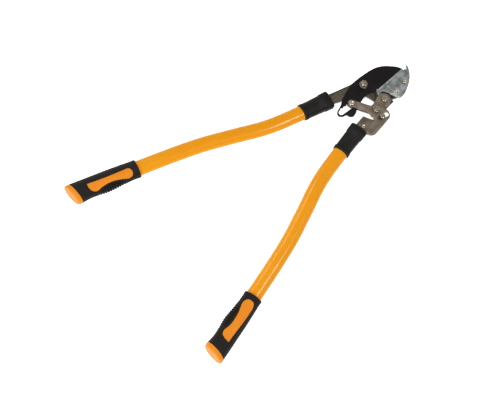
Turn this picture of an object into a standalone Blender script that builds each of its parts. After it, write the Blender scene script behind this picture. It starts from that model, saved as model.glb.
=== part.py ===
"""Ratchet anvil loppers: long handled garden cutters with one blade that closes on a flat anvil.

The tool lies flat. X runs across it, Y runs from the grips to the jaws and Z is the direction of
the pivots. While it is drawn, Y is measured from the blade pivot, X from the line midway between
the handles and Z from the middle of the fixed arm. The last step moves the finished tool so that
its origin is under the middle of its box, on the surface it lies on.
"""
import math

import bmesh
import bpy
from mathutils import Vector

# Clearances
GAP = 0.0003                # between pieces that touch or slide
PIN_PLAY = 0.0012           # round the ratchet pin in its notch

# Plates, one above the other
ARM_THICKNESS = 0.005
BLADE_THICKNESS = 0.004
LINK_THICKNESS = 0.0025
LEVER_THICKNESS = 0.003
TANG_THICKNESS = 0.005
ANVIL_SHEET = 0.0025
CHEEK_CLEARANCE = 0.0028    # blade face to the inside of the front cheek

# Pivots and fasteners, across and along the tool
BLADE_PIVOT = (-0.024, 0.0)
LEVER_PIVOT = (0.030, 0.0095)
LINK_PIVOT = (0.0355, -0.023)
RATCHET_PIN = (-0.008, -0.053)
CLAMP_BOLT = (0.0556, -0.0223)
TANG_RIVET = (0.0462, -0.0705)
PLATE_RIVET = (0.0630, -0.0657)
ANVIL_RIVETS = ((0.0269, 0.0783), (0.0324, 0.0434))

# Fastener sizes
PIVOT_DIAMETER = 0.008
NUT_ACROSS_FLATS = 0.013
NUT_HEIGHT = 0.0055
HEAD_HEIGHT = 0.0053
BOLT_END = 0.0015           # thread that stands out of a nut
WASHER_DIAMETER = 0.0175
WASHER_THICKNESS = 0.0015
SPACER_DIAMETER = 0.013
CLAMP_DIAMETER = 0.0065
CLAMP_ACROSS_FLATS = 0.0105
RATCHET_PIN_DIAMETER = 0.007
RATCHET_HEAD_DIAMETER = 0.0125
RIVET_DIAMETER = 0.005
RIVET_HEAD_DIAMETER = 0.0098
RIVET_HEAD_HEIGHT = 0.0022

# Round ends of the plates
LEVER_HUB_RADIUS = 0.0155
ANVIL_HUB_RADIUS = 0.0203   # hollow in the cheeks, round the lever hub
ARM_HUB_RADIUS = 0.0165
LINK_WIDTH = 0.0165
CLAMP_SLOT_WIDTH = 0.0092

# Ratchet slot in the blade tail
NOTCH_PITCH = 0.0085
NOTCH_COUNT = 4

# Anvil
EDGE_HEEL = (0.0034, 0.0140)
EDGE_TIP = (0.0003, 0.1000)
INSERT_THICKNESS = 0.004
INSERT_WIDTH = 0.012
INSERT_ENDS = (0.0170, 0.0965)

# Handles: an oval tube that leaves the collar, bends outwards and straightens into the grip
TUBE_WIDTH = 0.0323
TUBE_FLATNESS = 0.62        # thickness over width
TUBE_WALL = 0.0015
COLLAR_END = (0.0446, -0.0828)
HANDLE_SPREAD = 0.1604
HANDLE_LENGTH = 0.5588
HANDLE_SHAPE = ((0.0, 0.0), (0.0885, 0.125), (0.212, 0.2695), (0.4015, 0.4084),
                (0.582, 0.5483), (0.793, 0.7638), (1.0, 1.0))
TANG_WIDTH = 0.022
TANG_IN_TUBE = 0.062
TUBE_END_IN_COLLAR = 0.020
COLLAR_LENGTH = 0.071
COLLAR_WALL = 0.0022
COLLAR_FLARE = 0.0010       # extra half width at the head end

# Grips
GRIP_LENGTH = 0.136
GRIP_FLATNESS = 0.72
COVER_THICKNESS = 0.0017
PAD_PLAY = 0.0008           # window edge to the raised pad of the core, across the grip
LIP_LENGTH = 0.002
SQUARE_RUN = 0.0008         # straight run at either end of a grip piece, so that its ends are square
PAD_RUN = 0.004             # the same on the body that the pads are cut from
CAP_LENGTH = 0.010
BUTT_SLANT = 0.25           # the butt is cut square to the tool, so it is slanted to the handle
SLANT_RUN = 0.027           # length of grip that the slant dies out in
PLUG_LENGTH = 0.014
PLUG_RADIUS = 0.0125
# share of the grip length from the butt, how far the grip stands outside the tube on its outer
# side and on the side towards the other handle
GRIP_SECTIONS = ((0.0, 0.00685, 0.00685), (0.12, 0.00655, 0.00495), (0.25, 0.00615, 0.00455),
                 (0.45, 0.00565, 0.00735), (0.60, 0.00525, 0.00625), (0.80, 0.00425, 0.00355),
                 (0.92, 0.00365, 0.00315), (1.0, 0.00415, 0.00415))
# share of the grip length from the butt, half widths of a window towards the outer side and
# towards the other handle: both grips are one moulding, turned over, with a window that leans
# outwards on one face and a window that leans inwards on the other
WINDOW_LEANING_OUT = ((0.184, 0.0106, -0.0085), (0.199, 0.0108, 0.0001), (0.228, 0.0110, 0.0071),
                      (0.268, 0.0111, 0.0095), (0.313, 0.0113, 0.0094), (0.412, 0.0118, 0.0058),
                      (0.544, 0.0125, 0.0055), (0.665, 0.0128, 0.0076), (0.765, 0.0126, 0.0106),
                      (0.809, 0.0121, 0.0110), (0.857, 0.0102, 0.0089), (0.882, 0.0078, 0.0058),
                      (0.893, 0.0035, 0.0008))
WINDOW_LEANING_IN = ((0.180, 0.0050, 0.0030), (0.210, 0.0049, 0.0113), (0.268, 0.0045, 0.0148),
                     (0.309, 0.0042, 0.0147), (0.379, 0.0036, 0.0119), (0.474, 0.0031, 0.0103),
                     (0.566, 0.0031, 0.0101), (0.676, 0.0035, 0.0122), (0.776, 0.0039, 0.0150),
                     (0.835, 0.0040, 0.0146), (0.867, 0.0009, 0.0122), (0.882, -0.0040, 0.0072))

# Levels of the plates, worked out from their thicknesses
ARM_TOP = ARM_THICKNESS / 2
ARM_BOTTOM = -ARM_THICKNESS / 2
BLADE_BOTTOM = ARM_TOP + GAP
BLADE_TOP = BLADE_BOTTOM + BLADE_THICKNESS
FRONT_LINK_BOTTOM = BLADE_TOP + GAP
FRONT_LINK_TOP = FRONT_LINK_BOTTOM + LINK_THICKNESS
REAR_LINK_TOP = BLADE_BOTTOM - GAP
REAR_LINK_BOTTOM = REAR_LINK_TOP - LINK_THICKNESS
FRONT_LEVER_BOTTOM = FRONT_LINK_TOP + GAP
FRONT_LEVER_TOP = FRONT_LEVER_BOTTOM + LEVER_THICKNESS
REAR_LEVER_TOP = ARM_BOTTOM - GAP
REAR_LEVER_BOTTOM = REAR_LEVER_TOP - LEVER_THICKNESS
TANG_TOP = FRONT_LEVER_BOTTOM - GAP
TANG_BOTTOM = TANG_TOP - TANG_THICKNESS
FRONT_CHEEK_BOTTOM = BLADE_TOP + CHEEK_CLEARANCE
FRONT_CHEEK_TOP = FRONT_CHEEK_BOTTOM + ANVIL_SHEET
REAR_CHEEK_TOP = ARM_BOTTOM - GAP
REAR_CHEEK_BOTTOM = REAR_CHEEK_TOP - ANVIL_SHEET
BLADE_MIDDLE = (BLADE_BOTTOM + BLADE_TOP) / 2
LEVER_HANDLE_LEVEL = (TANG_TOP + TANG_BOTTOM) / 2

ROUND_STEPS = 16            # points on a full circle of a hole or a pin
GRIP_STEPS = 14             # lengths that a grip's form is divided into


# ---------------------------------------------------------------- collections and materials

def new_collection(name):
    collection = bpy.data.collections.new(name)
    bpy.context.scene.collection.children.link(collection)
    return collection


def finish(name, colour, roughness, metallic):
    material = bpy.data.materials.new(name)
    material.use_nodes = True
    shader = material.node_tree.nodes["Principled BSDF"]
    shader.inputs["Base Color"].default_value = (*colour, 1.0)
    shader.inputs["Roughness"].default_value = roughness
    shader.inputs["Metallic"].default_value = metallic
    material.diffuse_color = (*colour, 1.0)
    return material


def clear_scene():
    for item in list(bpy.data.objects):
        bpy.data.objects.remove(item)


def place_empty(name, position, parent=None):
    empty = bpy.data.objects.new(name, None)
    empty.location = (position[0], position[1], 0.0)
    PARTS.objects.link(empty)
    if parent:
        empty.parent = parent
    return empty


# ---------------------------------------------------------------- outlines

def arc(centre, radius, start, end, steps=8):
    """Points on an arc from one angle to another, in degrees, ends included."""
    points = []
    for i in range(steps + 1):
        angle = math.radians(start + (end - start) * i / steps)
        points.append((centre[0] + radius * math.cos(angle), centre[1] + radius * math.sin(angle)))
    return points


def circle(centre, radius, steps=ROUND_STEPS):
    return arc(centre, radius, 0, 360 - 360 / steps, steps - 1)


def hexagon(centre, across_flats):
    return arc(centre, across_flats / 2 / math.cos(math.radians(30)), 45, 345, 5)


def smooth(points, steps=3):
    """A Catmull-Rom curve through the points, ends included."""
    ends = [tuple(2 * a - b for a, b in zip(points[0], points[1])), *points,
            tuple(2 * a - b for a, b in zip(points[-1], points[-2]))]
    curve = []
    for p0, p1, p2, p3 in zip(ends, ends[1:], ends[2:], ends[3:]):
        for i in range(steps):
            t = i / steps
            curve.append(tuple(
                0.5 * (2 * b + (c - a) * t + (2 * a - 5 * b + 4 * c - d) * t * t
                       + (3 * b - a - 3 * c + d) * t ** 3)
                for a, b, c, d in zip(p0, p1, p2, p3)))
    curve.append(tuple(points[-1]))
    return curve


def slot(start, end, width, steps=6):
    """A straight slot with round ends."""
    angle = math.degrees(math.atan2(end[1] - start[1], end[0] - start[0]))
    return (arc(end, width / 2, angle - 90, angle + 90, steps)
            + arc(start, width / 2, angle + 90, angle + 270, steps))


def offset(point, along, across, distance):
    """The point moved along a direction and across it, to its left."""
    return (point[0] + along[0] * distance - along[1] * across,
            point[1] + along[1] * distance + along[0] * across)


def between(start, end, share):
    return tuple(a + (b - a) * share for a, b in zip(start, end))


# ---------------------------------------------------------------- solids

def adopt(item, name, material, parent):
    """Name a finished object, give it its finish and hang it on its joint's empty."""
    item.name = name
    if item.data.materials:
        item.data.materials[0] = material
    else:
        item.data.materials.append(material)
    for collection in list(item.users_collection):
        collection.objects.unlink(item)
    PARTS.objects.link(item)
    item.parent = parent
    item.matrix_parent_inverse = parent_place(parent).inverted()
    return item


def parent_place(parent):
    bpy.context.view_layer.update()
    return parent.matrix_world


def tool(item, name):
    """Keep an object as a cutter that stays with the tool's frame."""
    item.name = name
    item.parent = FRAME
    for collection in list(item.users_collection):
        collection.objects.unlink(item)
    CUTTERS.objects.link(item)
    item.hide_render = True
    item.display_type = "WIRE"
    return item


def boolean(item, operation, other):
    modifier = item.modifiers.new(other.name, "BOOLEAN")
    modifier.operation = operation
    modifier.object = other
    modifier.solver = "EXACT"
    return item


def to_mesh(item):
    """Turn a curve object into a mesh object with welded caps."""
    CUTTERS.objects.link(item)
    bpy.context.view_layer.update()
    depsgraph = bpy.context.evaluated_depsgraph_get()
    mesh = bpy.data.meshes.new_from_object(item.evaluated_get(depsgraph))
    shape = bmesh.new()
    shape.from_mesh(mesh)
    bmesh.ops.remove_doubles(shape, verts=shape.verts, dist=1e-6)
    bmesh.ops.transform(shape, matrix=item.matrix_world, verts=shape.verts)
    bmesh.ops.recalc_face_normals(shape, faces=shape.faces)
    if shape.calc_volume(signed=True) < 0:
        bmesh.ops.reverse_faces(shape, faces=shape.faces)
    shape.to_mesh(mesh)
    shape.free()
    solid = bpy.data.objects.new(item.name, mesh)
    bpy.data.objects.remove(item)
    CUTTERS.objects.link(solid)
    return solid


def slab(outline, bottom, top, holes=()):
    """A flat plate: an outline with its holes, between two levels."""
    curve = bpy.data.curves.new("plate", "CURVE")
    curve.dimensions = "2D"
    curve.fill_mode = "BOTH"
    curve.extrude = (top - bottom) / 2
    for points in (outline, *holes):
        spline = curve.splines.new("POLY")
        spline.points.add(len(points) - 1)
        for target, point in zip(spline.points, points):
            target.co = (point[0], point[1], 0.0, 1.0)
        spline.use_cyclic_u = True
    item = bpy.data.objects.new("plate", curve)
    item.location.z = (top + bottom) / 2
    return to_mesh(item)


def oval_bar(stations, flatness, level):
    """A solid bar of oval section through stations (x, y, half width), closed at both ends."""
    curve = bpy.data.curves.new("bar", "CURVE")
    curve.dimensions = "3D"
    curve.bevel_depth = 1.0
    curve.bevel_resolution = 6
    curve.use_fill_caps = True
    spline = curve.splines.new("POLY")
    spline.points.add(len(stations) - 1)
    for target, (x, y, radius) in zip(spline.points, stations):
        target.co = (x, y, 0.0, 1.0)
        target.radius = radius
    item = bpy.data.objects.new("bar", curve)
    item.scale.z = flatness
    item.location.z = level
    return to_mesh(item)


def turned(centre, profile, steps=ROUND_STEPS):
    """A turned solid from a profile of (radius, height), from the top down, about an axis along Z."""
    mesh = bpy.data.meshes.new("profile")
    shape = bmesh.new()
    points = [shape.verts.new((radius, 0.0, height)) for radius, height in profile]
    for first, second in zip(points, points[1:]):
        shape.edges.new((first, second))
    shape.to_mesh(mesh)
    shape.free()
    item = bpy.data.objects.new("turned", mesh)
    item.location = (centre[0], centre[1], 0.0)
    CUTTERS.objects.link(item)
    screw = item.modifiers.new("turn", "SCREW")
    screw.axis = "Z"
    screw.steps = steps
    screw.render_steps = steps
    screw.use_merge_vertices = True
    screw.merge_threshold = 0.00001
    return item


def pin_shape(centre, radius, bottom, top):
    return slab(circle(centre, radius), bottom, top)


# ---------------------------------------------------------------- fasteners

def bolt(name, centre, diameter, head_bottom, head_top, end, parent, across=NUT_ACROSS_FLATS):
    """A hexagon bolt whose head is at the head levels and whose shank runs to its end level."""
    head = slab(hexagon(centre, across), head_bottom, head_top)
    inside = (head_bottom + head_top) / 2
    shank = pin_shape(centre, diameter / 2, min(inside, end), max(inside, end))
    boolean(head, "UNION", tool(shank, name + "_shank"))
    return adopt(head, name, BRIGHT, parent)


def nut(name, centre, diameter, bottom, parent, across=NUT_ACROSS_FLATS):
    outline = hexagon(centre, across)
    item = slab(outline, bottom, bottom + NUT_HEIGHT, [circle(centre, diameter / 2 + GAP)])
    return adopt(item, name, BRIGHT, parent)


def ring(name, centre, outer, inner, bottom, top, material, parent):
    item = slab(circle(centre, outer / 2), bottom, top, [circle(centre, inner / 2)])
    return adopt(item, name, material, parent)


def rivet(name, centre, diameter, head, bottom, top, parent):
    """A rivet with a domed head outside either level."""
    shank = diameter / 2
    rim = head / 2
    profile = [(0.0, top + RIVET_HEAD_HEIGHT), (0.55 * rim, top + 0.85 * RIVET_HEAD_HEIGHT),
               (0.9 * rim, top + 0.4 * RIVET_HEAD_HEIGHT), (rim, top), (shank, top),
               (shank, bottom), (rim, bottom), (0.9 * rim, bottom - 0.4 * RIVET_HEAD_HEIGHT),
               (0.55 * rim, bottom - 0.85 * RIVET_HEAD_HEIGHT), (0.0, bottom - RIVET_HEAD_HEIGHT)]
    return adopt(turned(centre, profile), name, BRIGHT, parent)


# ---------------------------------------------------------------- handles

def handle_path(side):
    """Points every few millimetres from the butt to the collar's end, with their distances."""
    points = [(side * (COLLAR_END[0] + HANDLE_SPREAD * across), COLLAR_END[1] - HANDLE_LENGTH * along)
              for across, along in reversed(HANDLE_SHAPE)]
    path = [Vector(point) for point in smooth(points, 16)]
    distances = [0.0]
    for first, second in zip(path, path[1:]):
        distances.append(distances[-1] + (second - first).length)
    return path, distances


def along_handle(side, distance):
    """The point on the handle's axis at a distance from the butt, and the direction there."""
    path, distances = handle_path(side)
    if distance <= 0:
        direction = (path[1] - path[0]).normalized()
        return path[0] + direction * distance, direction
    for i in range(1, len(path)):
        if distance <= distances[i] or i == len(path) - 1:
            direction = (path[i] - path[i - 1]).normalized()
            return path[i - 1] + direction * (distance - distances[i - 1]), direction


def handle_length():
    return handle_path(1)[1][-1]


def stretch(side, start, end, radius, count):
    """Stations of constant half width between two distances along a handle."""
    stations = []
    for i in range(count + 1):
        point, _ = along_handle(side, start + (end - start) * i / count)
        stations.append((point.x, point.y, radius))
    return stations


def slant(item, side):
    """Shear the butt end of a grip piece: further back on its outer side than on its inner one."""
    butt, along = along_handle(side, 0.0)
    across = Vector((-along.y, along.x)) * side
    for vertex in item.data.vertices:
        place = vertex.co.xy - butt
        share = min(max(1 - place.dot(along) / SLANT_RUN, 0.0), 1.0)
        shift = BUTT_SLANT * share * place.dot(across)
        vertex.co.x += along.x * shift
        vertex.co.y += along.y * shift
    return item


def grip_stations(side, start, end, inset, square=SQUARE_RUN):
    """Stations of the grip's outer form, made smaller all round by an inset, with square ends."""
    shape = smooth(GRIP_SECTIONS, 4)
    formed = GRIP_LENGTH - SQUARE_RUN - (LIP_LENGTH + 2 * SQUARE_RUN)
    places = [SQUARE_RUN + formed * i / GRIP_STEPS for i in range(GRIP_STEPS + 1)]
    distances = [start, *(d for d in places if start + square < d < end - square), end]
    stations = []
    for distance in distances:
        share = min(max((distance - SQUARE_RUN) / formed, 0.0), 1.0)
        after = next((k for k in range(1, len(shape)) if shape[k][0] >= share - 1e-9), len(shape) - 1)
        before = shape[after - 1]
        step = (share - before[0]) / (shape[after][0] - before[0])
        outer, inner = (TUBE_WIDTH / 2 + out for out in between(before[1:], shape[after][1:], step))
        point, direction = along_handle(side, distance)
        centre = offset(point, direction, side * (inner - outer) / 2, 0.0)
        stations.append((centre[0], centre[1], (outer + inner) / 2 - inset))
    for place, distance, run in ((1, start, square), (-1, end, -square)):
        x, y, radius = stations[0 if place == 1 else -1]
        _, direction = along_handle(side, distance)
        stations.insert(place, (x + direction.x * run, y + direction.y * run, radius))
    return stations


def window_prism(side, face, inset, level, name):
    """A prism with the outline of the grip's window, from the grip's middle out of one face."""
    sections = WINDOW_LEANING_OUT if side * face > 0 else WINDOW_LEANING_IN
    first, last = sections[0][0] * GRIP_LENGTH, sections[-1][0] * GRIP_LENGTH
    outer, inner = [], []
    for share, away, towards in sections:
        distance = min(max(share * GRIP_LENGTH, first + inset), last - inset)
        point, direction = along_handle(side, distance)
        outer.append(offset(point, direction, -side * (away - inset), 0.0))
        inner.append(offset(point, direction, side * (towards - inset), 0.0))
    outline = smooth(outer, 2) + smooth(list(reversed(inner)), 2)
    return tool(slab(outline, min(level, level + face * 0.03), max(level, level + face * 0.03)), name)


def make_tube(side, name, level, parent):
    start = PLUG_LENGTH + 0.002
    end = handle_length() - TUBE_END_IN_COLLAR
    tube = oval_bar(stretch(side, start, end, TUBE_WIDTH / 2, 26), TUBE_FLATNESS, level)
    inner_flatness = (TUBE_WIDTH * TUBE_FLATNESS / 2 - TUBE_WALL) / (TUBE_WIDTH / 2 - TUBE_WALL)
    bore = oval_bar(stretch(side, start - 0.005, end + 0.005, TUBE_WIDTH / 2 - TUBE_WALL, 27),
                    inner_flatness, level)
    boolean(tube, "DIFFERENCE", tool(bore, name + "_bore"))
    boolean(tube, "DIFFERENCE", tang_pin_hole(side, level, name + "_pin_hole"))
    return adopt(tube, name, POWDER_COAT, parent)


def tang_pin_place(side):
    point, _ = along_handle(side, handle_length() - TUBE_END_IN_COLLAR - 0.022)
    return point


def tang_pin_hole(side, level, name):
    return tool(pin_shape(tang_pin_place(side), RIVET_DIAMETER / 2 + GAP, level - 0.03, level + 0.03),
                name)


def make_tang_pin(side, name, level, parent):
    half = TUBE_WIDTH * TUBE_FLATNESS / 2 - GAP
    pin = pin_shape(tang_pin_place(side), RIVET_DIAMETER / 2, level - half, level + half)
    return adopt(pin, name, BRIGHT, parent)


def make_collar(side, name, level, strap, parent):
    length = handle_length()
    half = TUBE_WIDTH / 2 + GAP + COLLAR_WALL
    stations = []
    for i in range(9):
        share = i / 8
        point, _ = along_handle(side, length - COLLAR_LENGTH * (1 - share))
        stations.append((point.x, point.y, half + COLLAR_FLARE * share))
    flatness = (TUBE_WIDTH * TUBE_FLATNESS / 2 + GAP + COLLAR_WALL) / half
    collar = oval_bar(stations, flatness, level)
    bore_end = length - TUBE_END_IN_COLLAR + GAP
    bore_half = TUBE_WIDTH / 2 + GAP
    bore_flatness = (TUBE_WIDTH * TUBE_FLATNESS / 2 + GAP) / bore_half
    bore = oval_bar(stretch(side, length - COLLAR_LENGTH - 0.004, bore_end, bore_half, 8),
                    bore_flatness, level)
    boolean(collar, "DIFFERENCE", tool(bore, name + "_bore"))
    point, along = along_handle(side, length)
    half_slot = TANG_WIDTH / 2 + GAP
    outline = [offset(point, along, a, d) for a, d in
               ((half_slot, 0.004), (half_slot, -0.040), (-half_slot, -0.040), (-half_slot, 0.004))]
    half_high = strap / 2 + GAP
    opening = slab(outline, level - half_high, level + half_high)
    boolean(collar, "DIFFERENCE", tool(opening, name + "_tang_opening"))
    return adopt(collar, name, BLACK_PLASTIC, parent)


def make_grip(side, prefix, level, parent):
    """Black soft cover over an orange core that shows in the windows and as a lip."""
    cover_end = GRIP_LENGTH - LIP_LENGTH - GAP
    cover = slant(oval_bar(grip_stations(side, 0.0, cover_end, 0.0), GRIP_FLATNESS, level), side)
    inside_form = grip_stations(side, -0.004, GRIP_LENGTH + 0.004, COVER_THICKNESS)
    inside = slant(oval_bar(inside_form, GRIP_FLATNESS, level), side)
    boolean(cover, "DIFFERENCE", tool(inside, prefix + "_cover_bore"))
    for face, label in ((1, "_front"), (-1, "_back")):
        boolean(cover, "DIFFERENCE", window_prism(side, face, 0.0, level, prefix + label + "_window"))
    adopt(cover, prefix + "_grip_cover", SOFT_BLACK, parent)

    core_form = grip_stations(side, 0.0, GRIP_LENGTH - 0.001, COVER_THICKNESS + GAP)
    core = slant(oval_bar(core_form, GRIP_FLATNESS, level), side)
    pad_form = grip_stations(side, 2 * PAD_RUN, GRIP_LENGTH - 1.5 * PAD_RUN, 0.0, PAD_RUN)
    for face, label in ((1, "_front"), (-1, "_back")):
        pad = tool(slant(oval_bar(pad_form, GRIP_FLATNESS, level), side), prefix + label + "_pad")
        edge = window_prism(side, face, PAD_PLAY, level, prefix + label + "_pad_edge")
        boolean(pad, "INTERSECT", edge)
        boolean(core, "UNION", pad)
    lip_form = grip_stations(side, GRIP_LENGTH - LIP_LENGTH, GRIP_LENGTH, 0.0)
    lip = oval_bar(lip_form, GRIP_FLATNESS, level)
    boolean(core, "UNION", tool(lip, prefix + "_lip"))
    bore_half = TUBE_WIDTH / 2 + GAP
    bore_flatness = (TUBE_WIDTH * TUBE_FLATNESS / 2 + GAP) / bore_half
    bore = oval_bar(stretch(side, PLUG_LENGTH + 0.002 - GAP, GRIP_LENGTH + 0.004, bore_half, 10),
                    bore_flatness, level)
    boolean(core, "DIFFERENCE", tool(bore, prefix + "_core_bore"))
    pocket = oval_bar(stretch(side, -0.004, PLUG_LENGTH + 0.003, PLUG_RADIUS + GAP, 2),
                      GRIP_FLATNESS, level)
    boolean(core, "DIFFERENCE", tool(slant(pocket, side), prefix + "_plug_pocket"))
    adopt(core, prefix + "_grip_core", ORANGE_PLASTIC, parent)


def make_cap(side, prefix, level, parent):
    """A slightly domed end cap with a plug that fits in the core."""
    butt = TUBE_WIDTH / 2 + (GRIP_SECTIONS[0][1] + GRIP_SECTIONS[0][2]) / 2
    profile = ((-1.0, 0.50), (-0.98, 0.76), (-0.90, 0.89), (-0.74, 0.965), (-0.45, 0.995))
    seat = -1.05 * GAP
    stations = []
    for share, width in profile:
        point, _ = along_handle(side, share * CAP_LENGTH + seat)
        stations.append((point.x, point.y, butt * width))
    for distance, radius in ((seat, butt), (0.0, PLUG_RADIUS), (PLUG_LENGTH, PLUG_RADIUS)):
        point, _ = along_handle(side, distance)
        stations.append((point.x, point.y, radius))
    cap = slant(oval_bar(stations, GRIP_FLATNESS, level), side)
    return adopt(cap, prefix + "_end_cap", ORANGE_PLASTIC, parent)


def make_handle(side, prefix, level, strap, parent):
    """A whole handle round its tang, whose thickness is given."""
    make_tube(side, prefix + "_tube", level, parent)
    make_collar(side, prefix + "_collar", level, strap, parent)
    make_tang_pin(side, prefix + "_tang_pin", level, parent)
    make_grip(side, prefix, level, parent)
    make_cap(side, prefix, level, parent)


def tang_strap(side):
    """The corners of the strap part of a tang: outer, at the collar and in the tube, then inner."""
    point, along = along_handle(side, handle_length())
    half = TANG_WIDTH / 2
    inside = -(TUBE_END_IN_COLLAR + TANG_IN_TUBE)
    return [offset(point, along, side * -half, 0.0), offset(point, along, side * -half, inside),
            offset(point, along, side * half, inside), offset(point, along, side * half, 0.0)]


# ---------------------------------------------------------------- fixed side of the head

def make_arm(parent):
    """The fixed arm: tang, blade pivot, lever pivot and the nose between the anvil's cheeks."""
    outer, outer_end, inner_end, inner = tang_strap(-1)
    outline = [outer, outer_end, inner_end, inner, (-0.0258, -0.0623)]
    outline += smooth([(-0.0140, -0.0240), (-0.0019, -0.0111), (0.0078, -0.0068),
                       (0.0189, -0.0039), (0.0330, -0.0030), (0.0425, 0.0005), (0.0463, 0.0079)])
    outline += [(0.0440, 0.0302), (0.0370, 0.0300), (0.0388, 0.0400), (0.0400, 0.0500)]
    outline += [(0.0345, 0.0740), (0.0260, 0.0880)]
    outline += [(0.0190, 0.0890), (0.0128, 0.0800), (0.0128, 0.0250), (0.0118, 0.0155)]
    outline += [(0.0000, 0.0158)]
    outline += arc(BLADE_PIVOT, ARM_HUB_RADIUS, 80, 180, 6)
    outline += [(-0.0420, -0.0214)]
    hole = PIVOT_DIAMETER / 2 + GAP
    holes = [circle(BLADE_PIVOT, hole), circle(LEVER_PIVOT, hole)]
    holes += [circle(place, RIVET_DIAMETER / 2 + GAP) for place in ANVIL_RIVETS]
    arm = slab(outline, ARM_BOTTOM, ARM_TOP, holes)
    boolean(arm, "DIFFERENCE", tang_pin_hole(-1, 0.0, "arm_pin_hole"))
    adopt(arm, "fixed_arm", WARM_STEEL, parent)


def edge_point(share, distance):
    """A point beside the cutting edge: a share of the way from heel to tip, a distance off it."""
    run = Vector(EDGE_TIP) - Vector(EDGE_HEEL)
    point = Vector(EDGE_HEEL) + run * share
    away = Vector((run.y, -run.x)).normalized()
    return tuple(point + away * distance)


def at_height(y, distance):
    """The point at a height along the tool, a distance off the cutting edge."""
    return edge_point((y - EDGE_HEEL[1]) / (EDGE_TIP[1] - EDGE_HEEL[1]), distance)


def make_anvil(parent):
    """A channel folded from sheet: web behind the insert, cheeks in front and behind, and a foot."""
    web_face = GAP + INSERT_THICKNESS + GAP
    web_back = web_face + ANVIL_SHEET
    low, high = INSERT_ENDS
    outline = [at_height(low - GAP, web_face), at_height(high + 0.002, web_face)]
    outline += smooth([(0.0079, 0.1034), (0.0054, 0.1057), (0.0024, 0.1077), (-0.0034, 0.1104)])
    outline += smooth([(0.0046, 0.1102), (0.0113, 0.1072), (0.0172, 0.1034), (0.0241, 0.0971),
                       (0.0319, 0.0875), (0.0386, 0.0765), (0.0444, 0.0642), (0.0476, 0.0540),
                       (0.0481, 0.0455), (0.0470, 0.0403)])
    outline += [(0.0434, 0.0384), (0.0365, 0.0347), (0.0322, 0.0322)]
    outline += arc(LEVER_PIVOT, ANVIL_HUB_RADIUS, 92, 150, 6)
    outline += [(0.0138, 0.0158), (0.0138, 0.0062), (0.0016, 0.0136), (0.0042, low - GAP)]
    channel = slab(outline, REAR_CHEEK_BOTTOM, FRONT_CHEEK_TOP)
    pocket = [at_height(-0.020, web_back), (0.060, -0.020), (0.060, 0.120),
              (-0.020, 0.120), (-0.020, high + 0.002), at_height(high + 0.002, web_back)]
    inside = slab(pocket, REAR_CHEEK_TOP, FRONT_CHEEK_BOTTOM)
    boolean(channel, "DIFFERENCE", tool(inside, "anvil_inside"))
    below = [(-0.020, -0.020), (0.060, -0.020), (0.060, low), (-0.020, low)]
    foot_space = slab(below, REAR_CHEEK_BOTTOM - 0.01, BLADE_BOTTOM)
    boolean(channel, "DIFFERENCE", tool(foot_space, "anvil_foot_space"))
    heel = [(-0.020, -0.020), (0.0054, -0.020), (0.0054, low), (-0.020, low)]
    heel_space = slab(heel, BLADE_BOTTOM - 0.01, FRONT_CHEEK_BOTTOM)
    boolean(channel, "DIFFERENCE", tool(heel_space, "anvil_heel_space"))
    beyond = [(-0.020, high + 0.002), (0.060, high + 0.002), (0.060, 0.120), (-0.020, 0.120)]
    hook_space = slab(beyond, REAR_CHEEK_BOTTOM - 0.01, FRONT_CHEEK_BOTTOM)
    boolean(channel, "DIFFERENCE", tool(hook_space, "anvil_hook_space"))
    corner = [(0.0370, 0.0300), (0.0600, 0.0300), (0.0600, 0.0600), (0.0470, 0.0600),
              (0.0425, 0.0480), (0.0405, 0.0400)]
    rear_corner = slab(corner, REAR_CHEEK_BOTTOM - 0.01, REAR_CHEEK_TOP + GAP)
    boolean(channel, "DIFFERENCE", tool(rear_corner, "anvil_rear_corner"))
    for i, place in enumerate(ANVIL_RIVETS):
        hole = pin_shape(place, RIVET_DIAMETER / 2 + GAP, -0.03, 0.03)
        boolean(channel, "DIFFERENCE", tool(hole, "anvil_rivet_hole_%d" % i))
    adopt(channel, "anvil_channel", ZINC, parent)

    strip = [at_height(low, GAP), at_height(high, GAP),
             at_height(high, GAP + INSERT_THICKNESS), at_height(low, GAP + INSERT_THICKNESS)]
    insert = slab(strip, BLADE_MIDDLE - INSERT_WIDTH / 2, BLADE_MIDDLE + INSERT_WIDTH / 2)
    adopt(insert, "anvil_insert", ALUMINIUM, parent)

    for label, place in zip(("tip", "heel"), ANVIL_RIVETS):
        ring("anvil_spacer_" + label, place, 2 * RIVET_DIAMETER, RIVET_DIAMETER + 2 * GAP,
             ARM_TOP + GAP, FRONT_CHEEK_BOTTOM - GAP, ZINC, parent)
        rivet("anvil_rivet_" + label, place, RIVET_DIAMETER, RIVET_HEAD_DIAMETER,
              REAR_CHEEK_BOTTOM - GAP, FRONT_CHEEK_TOP + GAP, parent)


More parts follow.
